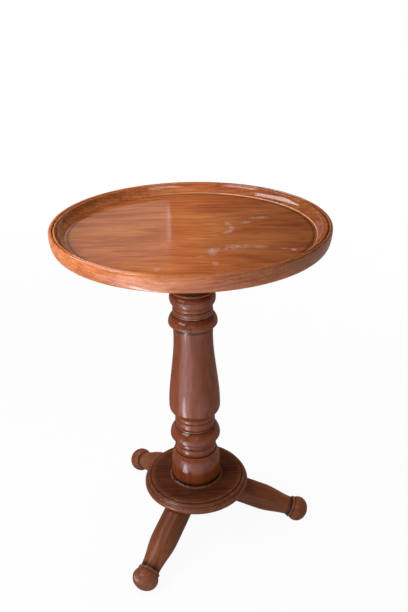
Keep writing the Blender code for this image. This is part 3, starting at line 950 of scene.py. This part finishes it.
def make_screws():
    """Slotted wood screws in the places of the CAD ones."""
    finish = steel_material()
    for node in screw_names("bearer_screw") + screw_names("leg_screw"):
        bottom = bottom_of(node)
        tip = top_of(node)
        head_top = bottom + SCREW_HEAD_HEIGHT
        outline = Outline(0.0, bottom)
        outline.level_to(SCREW_HEAD_RADIUS, head_top)
        outline.line_to(SCREW_SHANK_RADIUS, head_top)
        outline.line_to(SCREW_SHANK_RADIUS, tip - SCREW_POINT_LENGTH)
        outline.line_to(0.0, tip)
        screw = turned("fine_" + node, outline, SCREW_SEGMENTS)
        lower_end = (bottom - SCREW_SLOT_DEPTH, SCREW_SLOT_WIDTH)
        upper_end = (bottom + SCREW_SLOT_DEPTH, SCREW_SLOT_WIDTH)
        slot = block("screw_slot", 3 * SCREW_HEAD_RADIUS, lower_end, upper_end)
        carve(screw, [slot])
        screw.location = (*middle_of(node), 0.0)
        dress(screw, finish, node)


class Graph:
    """The nodes of a material or a world, added and joined one at a time."""

    def __init__(self, owner):
        owner.use_nodes = True
        self.nodes = owner.node_tree.nodes
        self.links = owner.node_tree.links

    def feed(self, socket, value):
        if isinstance(value, bpy.types.NodeSocket):
            self.links.new(value, socket)
        else:
            socket.default_value = value

    def add(self, kind, inputs, output=0, **settings):
        node = self.nodes.new(kind)
        for key, value in settings.items():
            setattr(node, key, value)
        for key, value in inputs.items():
            self.feed(node.inputs[key], value)
        return node.outputs[output]

    def place(self):
        return self.add("ShaderNodeTexCoord", {}, "Object")

    def moved(self, vector, kind="POINT", **inputs):
        sockets = {name.capitalize(): value for name, value in inputs.items()}
        return self.add("ShaderNodeMapping", {"Vector": vector, **sockets}, vector_type=kind)

    def noise(self, vector, scale, detail, roughness):
        """Cloudy values around 0.5. Scale is how many clouds there are per unit, along each axis."""
        stretched = self.moved(vector, scale=scale)
        inputs = {"Vector": stretched, "Scale": 1.0, "Detail": detail, "Roughness": roughness}
        return self.add("ShaderNodeTexNoise", inputs)

    def math(self, operation, first, second=0.0, third=0.0):
        inputs = {0: first, 1: second, 2: third}
        return self.add("ShaderNodeMath", inputs, operation=operation)

    def times(self, first, second):
        return self.math("MULTIPLY", first, second)

    def vector_math(self, operation, first, second=None, output=0):
        inputs = {0: first}
        if second is not None:
            inputs[1] = second
        return self.add("ShaderNodeVectorMath", inputs, output, operation=operation)

    def span(self, value, start, end, low=0.0, high=1.0):
        """Runs from low to high as value goes from start to end, and stays there outside."""
        inputs = {"Value": value, "From Min": start, "From Max": end, "To Min": low, "To Max": high}
        return self.add("ShaderNodeMapRange", inputs)

    def mix(self, share, first, second, blend="MIX"):
        """Mixes two colours: inputs 6 and 7 of the node, and its output 2."""
        inputs = {0: share, 6: first, 7: second}
        return self.add("ShaderNodeMix", inputs, 2, data_type="RGBA", blend_type=blend)

    def tinted(self, colour, tint):
        return self.mix(1.0, colour, tint, "MULTIPLY")

    def ramp(self, value, *stops):
        node = self.nodes.new("ShaderNodeValToRGB")
        self.feed(node.inputs[0], value)
        elements = node.color_ramp.elements
        while len(elements) < len(stops):
            elements.new(1.0)
        for element, (position, colour) in zip(elements, stops):
            element.position = position
            element.color = (*colour, 1.0)
        return node.outputs[0]

    def bump(self, height, strength, distance):
        inputs = {"Height": height, "Strength": strength, "Distance": distance}
        return self.add("ShaderNodeBump", inputs)


class MaterialGraph(Graph):
    """The nodes of a new material."""

    def __init__(self, name):
        self.material = bpy.data.materials.new(name)
        super().__init__(self.material)
        self.shader = self.nodes["Principled BSDF"]

    def feed_shader(self, inputs):
        for name, value in inputs.items():
            self.feed(self.shader.inputs[name], value)


@dataclass
class Grain:
    """The sockets of a wood's grain: its colour, and the fine values behind it."""

    colour: bpy.types.NodeSocket
    pores: bpy.types.NodeSocket
    streaks: bpy.types.NodeSocket


def wood_grain(graph, wood, place):
    """Wavy streaks, growth rings and short dark pores, all drawn out along the wood's length."""
    turn = tuple(math.radians(angle) for angle in wood.turn)
    place = graph.moved(place, rotation=turn)
    clouds = graph.noise(place, *SWAY_NOISE)
    sway = graph.math("MULTIPLY_ADD", clouds, SWAY, -SWAY / 2)
    sway_vector = graph.add("ShaderNodeCombineXYZ", {0: sway, 1: sway})
    wavy = graph.vector_math("ADD", place, sway_vector)

    figure = graph.noise(wavy, *FIGURE_NOISE)
    streaks = graph.noise(wavy, *STREAK_NOISE)
    pores = graph.noise(wavy, *PORE_NOISE)
    across = graph.moved(wavy, scale=RING_STRETCH, location=(*wood.pith, 0.0))
    distance = graph.vector_math("LENGTH", across, output="Value")
    wander = graph.times(figure, RING_WANDER)
    phase = graph.math("MULTIPLY_ADD", distance, RING_TURN_PER_METRE, wander)
    rings = graph.math("MULTIPLY_ADD", graph.math("SINE", phase), 0.5, 0.5)

    tone = graph.times(figure, FIGURE_SHARE)
    tone = graph.math("MULTIPLY_ADD", streaks, STREAK_SHARE, tone)
    tone = graph.math("MULTIPLY_ADD", rings, RING_SHARE, tone)
    tone = graph.span(tone, *TONE_RANGE)
    colour = graph.ramp(tone, (0.0, wood.dark), (0.5, wood.middle), (1.0, wood.light))
    pore_mask = graph.span(pores, *PORE_RANGE)
    pore_colour = tuple(PORE_DARKENING * value for value in wood.dark)
    colour = graph.mix(graph.times(pore_mask, PORE_SHARE), colour, (*pore_colour, 1.0))
    cast = graph.noise(place, *CAST_NOISE)
    colour = graph.tinted(colour, graph.ramp(cast, *CASTS))
    return Grain(colour, pore_mask, streaks)


def waxed_shaded_and_worn(graph, wood, grain, clean=None):
    """Dark wax and painted shade in the hollows, except where clean is 1, and paler wood where ridges are
    rubbed.
    """
    hollow = graph.add("ShaderNodeAttribute", {}, "Fac", attribute_name="hollow")
    if clean is not None:
        hollow = graph.times(hollow, graph.math("SUBTRACT", 1.0, clean))
    patches = graph.noise(graph.place(), *PATCH_NOISE)
    # Dark wax and painted shade, deepest in the hollows
    wax_and_shade = graph.span(hollow, *WAX_AND_SHADE_DEPTHS)
    wax_and_shade = graph.times(wax_and_shade, graph.span(patches, *WAX_AND_SHADE_PATCHES, *WAX_AND_SHADE_COVER))
    colour = graph.mix(wax_and_shade, grain.colour, WAX_AND_SHADE_COLOUR)
    worn = graph.span(hollow, *WORN_DEPTHS)
    worn = graph.times(worn, graph.span(patches, *WORN_PATCHES, LEAST_WEAR, wood.wear))
    worn_colour = tuple(WORN_LIGHTENING * value for value in wood.light)
    return graph.mix(worn, colour, (*worn_colour, 1.0))


def polish(graph, wood, grain, colour, marks=None):
    """Sends a colour to the shader, under a clear coat that lies over the grain. Marks are duller."""
    glossiest = wood.roughness - ROUGHNESS_DROP
    dullest = wood.roughness + ROUGHNESS_RISE
    roughness = graph.span(grain.streaks, *STREAK_RANGE, glossiest, dullest)
    if marks is not None:
        roughness = graph.math("MULTIPLY_ADD", marks, MARK_ROUGHNESS, roughness)
    texture = graph.math("MULTIPLY_ADD", grain.streaks, STREAK_RELIEF, graph.times(grain.pores, -1.0))
    swell = graph.noise(graph.place(), *SWELL_NOISE)
    finish = graph.math("MULTIPLY_ADD", grain.pores, COAT_PORE_RELIEF, swell)
    inputs = {
        "Base Color": colour,
        "Roughness": roughness,
        "IOR": WOOD_IOR,
        "Specular IOR Level": 0.0,
        "Normal": graph.bump(texture, *GRAIN_BUMP),
        "Coat Weight": wood.coat,
        "Coat Roughness": wood.coat_roughness,
        "Coat IOR": wood.coat_ior,
        "Coat Normal": graph.bump(finish, *COAT_BUMP),
    }
    graph.feed_shader(inputs)
    return graph.material


def wood_material(name, wood):
    graph = MaterialGraph(name)
    grain = wood_grain(graph, wood, graph.place())
    return polish(graph, wood, grain, waxed_shaded_and_worn(graph, wood, grain))


def leg_material(name, place, lean):
    """A leg's grain follows the leg, so it is laid out in the leg's own axes."""
    graph = MaterialGraph(name)
    own_place = graph.moved(graph.place(), "TEXTURE", location=place, rotation=lean)
    grain = wood_grain(graph, BASE_WOOD, own_place)
    outward = graph.span(radius_of(graph), DISC_RADIUS, LEG_SPREAD)
    # Painted shade on each leg near its root, and painted light further out
    colour = graph.tinted(waxed_shaded_and_worn(graph, BASE_WOOD, grain), graph.ramp(outward, *LEG_PAINTED_SHADE_AND_LIGHT))
    return polish(graph, BASE_WOOD, grain, colour)


def dust_band(graph, value, middle, half_width):
    """1 on a line and 0 beyond its half width, broken up by fine noise."""
    away = graph.math("ABSOLUTE", graph.math("SUBTRACT", value, middle))
    band = graph.span(away, 0.0, half_width, 1.0, 0.0)
    broken = graph.noise(graph.place(), *DUST_NOISE)
    return graph.times(band, graph.span(broken, *DUST_RANGE))


def height_of(graph):
    return graph.add("ShaderNodeSeparateXYZ", {0: graph.place()}, "Z")


def flat_place(graph):
    return graph.vector_math("MULTIPLY", graph.place(), (1.0, 1.0, 0.0))


def radius_of(graph):
    return graph.vector_math("LENGTH", flat_place(graph), output="Value")


def column_material(dusty_heights):
    graph = MaterialGraph("column_finish")
    grain = wood_grain(graph, COLUMN_WOOD, graph.place())
    colour = waxed_shaded_and_worn(graph, COLUMN_WOOD, grain)
    foot, collar_groove = dusty_heights
    foot_dust = dust_band(graph, height_of(graph), foot, FOOT_DUST_HALF_WIDTH)
    collar_dust = dust_band(graph, height_of(graph), collar_groove, COLLAR_DUST_HALF_WIDTH)
    dust = graph.times(collar_dust, COLLAR_DUST_SHARE)
    dust = graph.math("MULTIPLY_ADD", foot_dust, FOOT_DUST_SHARE, dust)
    colour = graph.mix(dust, colour, DUST_COLOUR)
    return polish(graph, COLUMN_WOOD, grain, colour, dust)


def disc_material():
    graph = MaterialGraph("disc_finish")
    grain = wood_grain(graph, SHADED_DISC_WOOD, graph.place())
    colour = waxed_shaded_and_worn(graph, SHADED_DISC_WOOD, grain)
    # Painted shade on the inner disc, and painted light on its edge
    painted_shade_and_light = (DISC_PAINTED_SHADE, DISC_EDGE_PAINTED_LIGHT)
    colour = graph.tinted(colour, graph.span(radius_of(graph), DISC_DARK_RADIUS, DISC_RADIUS, *painted_shade_and_light))
    dust = dust_band(graph, radius_of(graph), FOOT_RING_RADIUS, DISC_DUST_HALF_WIDTH)
    colour = graph.mix(graph.times(dust, DISC_DUST_SHARE), colour, DUST_COLOUR)
    return polish(graph, SHADED_DISC_WOOD, grain, colour, dust)


def scuff_mask(graph):
    """Streaky pale rubbing inside each scuff's oval."""
    total = 0.0
    for index, scuff in enumerate(PANEL_SCUFFS):
        local = graph.moved(
            flat_place(graph),
            "TEXTURE",
            location=(scuff.x, scuff.y, 0.0),
            rotation=(0.0, 0.0, math.radians(scuff.turn)),
            scale=(scuff.half_length, SCUFF_SPREAD * scuff.half_width, 1.0),
        )
        away = graph.vector_math("LENGTH", local, output="Value")
        apart = graph.vector_math("ADD", local, (SCUFF_APART * index, 0.0, 0.0))
        rubbing = graph.noise(apart, *RUBBING_NOISE)
        inside = graph.span(away, *SCUFF_FALL, scuff.strength, 0.0)
        rubbed = graph.times(inside, graph.span(rubbing, *RUBBING_RANGE))
        total = graph.math("ADD", total, rubbed)
    return total


def top_with_painted_light(graph, colour, across):
    """Painted light and shade: lighter to the left, darker towards the right, and painted shade inside
    the rim towards the left too.
    """
    colour = graph.tinted(colour, graph.ramp(graph.span(across, *PAINTED_FALLOFF_REACH), *TOP_PAINTED_LIGHT_FALLOFF))
    in_dish = graph.span(radius_of(graph), *DISH_EDGE, 1.0, 0.0)
    shaded = graph.span(across, *LEFT_DISH_PAINTED_SHADE_REACH, DISH_PAINTED_SHADE_FACTOR, 1.0)
    return graph.mix(in_dish, colour, graph.tinted(colour, shaded))


def top_material(panel, edge_radius):
    """Wood with painted light and shade, a pale arris at the panel's edge that is rubbed and is also a
    painted highlight, and scuffs on the panel.
    """
    graph = MaterialGraph("top_finish")
    grain = wood_grain(graph, TOP_WOOD, graph.place())
    from_edge = graph.math("ABSOLUTE", graph.math("SUBTRACT", radius_of(graph), edge_radius))
    colour = waxed_shaded_and_worn(graph, TOP_WOOD, grain, graph.span(from_edge, *CLEAN_EDGE, 1.0, 0.0))
    across = graph.add("ShaderNodeSeparateXYZ", {0: graph.place()}, "X")
    # Painted light and shade across the top, lighter on the left and darker on the right
    colour = top_with_painted_light(graph, colour, across)
    upper_side = graph.span(height_of(graph), panel - UPPER_SIDE_START, panel - UPPER_SIDE_END)
    # Pale arris: partly rubbed wood and partly a painted highlight, faded out towards the left as painted
    # shade
    arris = graph.span(from_edge, *ARRIS_EDGE, 1.0, 0.0)
    arris = graph.times(arris, graph.span(across, *ARRIS_LIT_SIDE_REACH, 0.0, ARRIS_SHARE))
    colour = graph.mix(graph.times(arris, upper_side), colour, PALE_ARRIS_AND_HIGHLIGHT_COLOUR)
    scuffs = graph.times(scuff_mask(graph), upper_side)
    colour = graph.mix(graph.math("MINIMUM", scuffs, MOST_SCUFFED), colour, SCUFF_COLOUR)
    return polish(graph, TOP_WOOD, grain, colour, scuffs)


def steel_material():
    graph = MaterialGraph("screw_finish")
    brushed = graph.noise(graph.place(), *BRUSHED_NOISE)
    tarnish = graph.noise(graph.place(), *TARNISH_NOISE)
    inputs = {
        "Base Color": graph.ramp(tarnish, *STEEL_TARNISH),
        "Metallic": 1.0,
        "Roughness": graph.span(brushed, *BRUSHED_RANGE, *STEEL_ROUGHNESS),
        "Normal": graph.bump(brushed, *STEEL_BUMP),
    }
    graph.feed_shader(inputs)
    return graph.material


def dress_wedges():
    finish = wood_material("wedge_finish", WEDGE_WOOD)
    for node in ("column_top_wedge", "column_foot_wedge"):
        for material_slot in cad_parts[node].material_slots:
            material_slot.material = finish


def seen_directly(graph):
    """1 for rays from the camera, from a reflection or through glass, and 0 for light on the table."""
    path = graph.nodes.new("ShaderNodeLightPath")
    seen = graph.math("MAXIMUM", path.outputs["Is Camera Ray"], path.outputs["Is Glossy Ray"])
    return graph.math("MAXIMUM", seen, path.outputs["Is Transmission Ray"])


def floor_material():
    """White where the camera or a reflection sees it, with a share left to the object's shadow."""
    graph = MaterialGraph("floor_finish")
    inputs = {"Base Color": FLOOR_COLOUR, "Roughness": FLOOR_ROUGHNESS, "Specular IOR Level": 0.0}
    graph.feed_shader(inputs)
    white = graph.add("ShaderNodeEmission", {"Color": WHITE, "Strength": 1.0})
    plain = graph.span(radius_of(graph), SHADOW_RADIUS, SHADOW_END, 1.0 - FLOOR_SHADOW_SHARE, 1.0)
    share = graph.times(seen_directly(graph), plain)
    surface = graph.add("ShaderNodeMixShader", {0: share, 1: graph.shader.outputs[0], 2: white})
    graph.links.new(surface, graph.nodes["Material Output"].inputs["Surface"])
    return graph.material


def make_floor():
    shape = bmesh.new()
    bmesh.ops.create_grid(shape, x_segments=1, y_segments=1, size=FLOOR_HALF_SIZE)
    floor = object_from("studio_floor", shape)
    floor.location.z = -FIT_GAP
    floor.data.materials.append(floor_material())


def add_lamp(lamp, colour):
    light = bpy.data.lights.new(lamp.name, "AREA")
    light.shape = "RECTANGLE"
    light.size, light.size_y = lamp.size
    light.energy = lamp.power
    light.color = colour
    holder = add_object(lamp.name, light)
    holder.visible_camera = False
    holder.location = lamp.place
    if lamp.target is None:
        holder.rotation_euler = (math.pi, 0.0, math.radians(lamp.heading))
    else:
        towards = Vector(lamp.target) - Vector(lamp.place)
        holder.rotation_euler = towards.to_track_quat("-Z", "Y").to_euler()
    return holder


def make_lights():
    """Soft daylight and a bright floor. The fill stays out of the polish, and gleams only show there."""
    for lamp in WINDOWS:
        add_lamp(lamp, DAYLIGHT)
    fill = add_lamp(FILL, DAYLIGHT)
    fill.visible_glossy = False
    for lamp in FLOOR_GLOWS:
        add_lamp(lamp, COOL_LIGHT)
    for lamp in GLEAMS:
        gleam = add_lamp(lamp, COOL_LIGHT)
        gleam.visible_diffuse = False


def make_world():
    """An even dim sky. The camera sees plain white, and reflections see white low down only."""
    world = bpy.data.worlds.new("studio_world")
    bpy.context.scene.world = world
    graph = Graph(world)
    direction = graph.add("ShaderNodeTexCoord", {}, "Generated")
    rise = graph.add("ShaderNodeSeparateXYZ", {0: direction}, "Z")
    backdrop = graph.span(rise, math.sin(BACKDROP_TOP), math.sin(BACKDROP_END), 1.0, SKY_SEEN)
    camera = graph.add("ShaderNodeLightPath", {}, "Is Camera Ray")
    seen = graph.math("MAXIMUM", backdrop, camera)
    strength = graph.add("ShaderNodeMix", {0: seen_directly(graph), 2: SKY_LIGHT, 3: seen})
    background = graph.nodes["Background"]
    background.inputs["Color"].default_value = WHITE
    graph.feed(background.inputs["Strength"], strength)


def make_camera():
    camera = bpy.data.cameras.new("photo_camera")
    camera.sensor_fit = "VERTICAL"
    camera.sensor_height = SENSOR_HEIGHT
    camera.lens = FOCAL_LENGTH_IN_PIXELS / IMAGE_HEIGHT * SENSOR_HEIGHT
    camera.shift_x = -HALF_PIXEL
    camera.shift_y = HALF_PIXEL
    camera.clip_end = 4 * FLOOR_HALF_SIZE
    holder = add_object("photo_camera", camera)
    heading = Matrix.Rotation(-CAMERA_YAW, 4, "Z")
    tilt = Matrix.Rotation(math.pi / 2 - CAMERA_PITCH, 4, "X")
    roll = Matrix.Rotation(CAMERA_ROLL, 4, "Z")
    holder.matrix_world = Matrix.Translation(CAMERA_PLACE) @ heading @ tilt @ roll
    bpy.context.scene.camera = holder


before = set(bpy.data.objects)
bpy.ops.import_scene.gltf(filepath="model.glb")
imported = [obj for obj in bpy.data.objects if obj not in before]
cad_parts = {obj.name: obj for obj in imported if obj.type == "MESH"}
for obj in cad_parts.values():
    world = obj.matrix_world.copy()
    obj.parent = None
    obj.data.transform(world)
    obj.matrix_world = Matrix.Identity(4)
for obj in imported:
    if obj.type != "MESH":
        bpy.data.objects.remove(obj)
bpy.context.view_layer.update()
bpy.context.scene.view_settings.view_transform = "Standard"
make_camera()
make_tabletop()
make_bearer()
make_column()
make_base_disc()
make_legs()
make_screws()
dress_wedges()
make_floor()
make_lights()
make_world()
